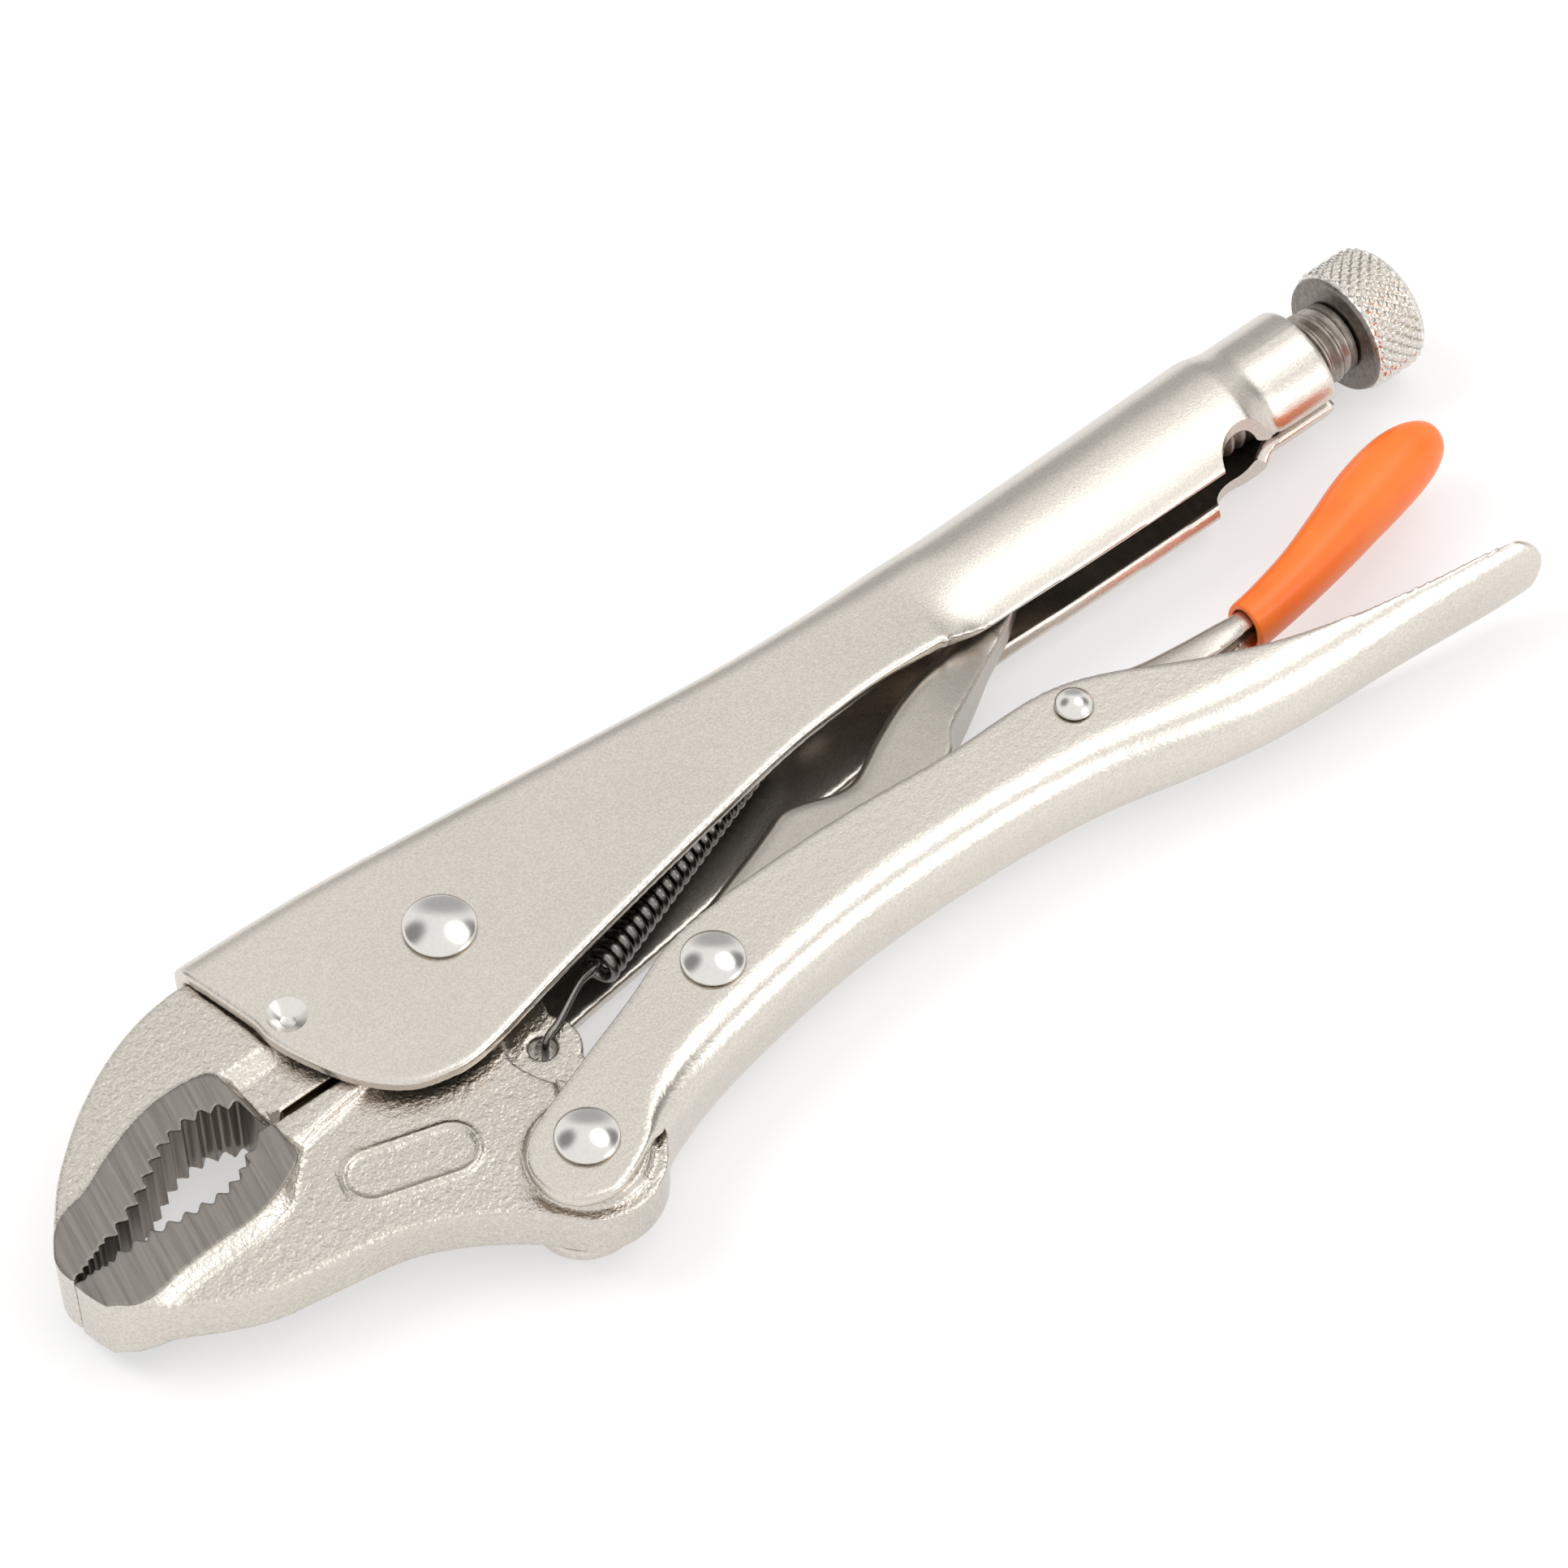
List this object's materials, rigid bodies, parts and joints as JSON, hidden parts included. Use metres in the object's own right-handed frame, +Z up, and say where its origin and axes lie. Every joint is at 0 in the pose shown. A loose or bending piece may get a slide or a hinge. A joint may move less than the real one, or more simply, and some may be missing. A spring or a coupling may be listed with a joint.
{
  "type": "locking pliers",
  "caption": "Hand-held locking pliers: curved toothed jaws with a wire cutter, toggle link, return spring, adjusting screw with a knurled knob and a sleeved release lever.",
  "frame": {"origin": "bottom centre of the tool's box, as it lies on one side", "axes": "+X along the tool towards the adjusting knob, +Y across the handles towards the fixed handle, +Z up along the pivots"},
  "size_m": [0.2278, 0.0624, 0.0183],
  "materials": {
    "satin_nickel": "satin nickel plate on bent sheet steel, with a fine sparkle",
    "forged_nickel": "nickel plate on forged steel, a little rougher, ground on the gripping blocks",
    "polished_nickel": "bright nickel",
    "machined_steel": "turned and threaded, lightly oiled",
    "knurled_nickel": "bright diamond knurl",
    "spring_steel": "dark blued wire",
    "orange_vinyl": "glossy dipped vinyl"
  },
  "bodies": {
    "fixed_handle_body": {"fixed_handle": "satin_nickel", "upper_jaw": "forged_nickel", "jaw_pivot_rivet": "polished_nickel"},
    "lower_jaw_body": {"lower_jaw": "forged_nickel", "jaw_spring": "spring_steel"},
    "lower_handle_body": {"lower_handle": "satin_nickel", "lever_rivet": "polished_nickel", "link_rivet": "polished_nickel", "release_lever_rivet": "polished_nickel"},
    "toggle_link_body": {"toggle_link": "satin_nickel"},
    "release_lever_body": {"release_lever": "satin_nickel", "release_lever_sleeve": "orange_vinyl"},
    "screw_body": {"adjusting_screw": "machined_steel"},
    "knob_body": {"knurled_knob": "knurled_nickel"}
  },
  "joints": [
    {"name": "jaw_pivot", "type": "hinge", "parent": "fixed_handle_body", "child": "lower_jaw_body", "pos_m": [-0.05003, 0.01402, 0.00915], "axis": [0, 0, 1], "range_deg": [0, 14], "deforming": ["jaw_spring"]},
    {"name": "lever_pivot", "type": "hinge", "parent": "lower_jaw_body", "child": "lower_handle_body", "pos_m": [-0.05523, -0.02138, 0.00915], "axis": [0, 0, -1], "range_deg": [0, 54]},
    {"name": "link_pivot", "type": "hinge", "parent": "lower_handle_body", "child": "toggle_link_body", "pos_m": [-0.02732, -0.01128, 0.00915], "axis": [0, 0, 1], "range_deg": [0, 55.6]},
    {"name": "release_lever_pivot", "type": "hinge", "parent": "lower_handle_body", "child": "release_lever_body", "pos_m": [0.03238, -0.01068, 0.00915], "axis": [0, 0, -1], "range_deg": [0, 8]},
    {"name": "screw_travel", "type": "slide", "parent": "fixed_handle_body", "child": "screw_body", "axis": [1, 0, 0], "range_m": [0, 0.012]},
    {"name": "knob_turn", "type": "hinge", "parent": "screw_body", "child": "knob_body", "pos_m": [0.10447, 0.01713, 0.00915], "axis": [1, 0, 0], "range_deg": [0, 2160.1]}
  ],
  "couplings": [
    {"joint": "jaw_pivot", "follows": "lever_pivot", "ratio": 0.2592},
    {"joint": "link_pivot", "follows": "lever_pivot", "ratio": 1.0296},
    {"joint": "knob_turn", "follows": "screw_travel", "rad_per_m": 3141.6}
  ]
}
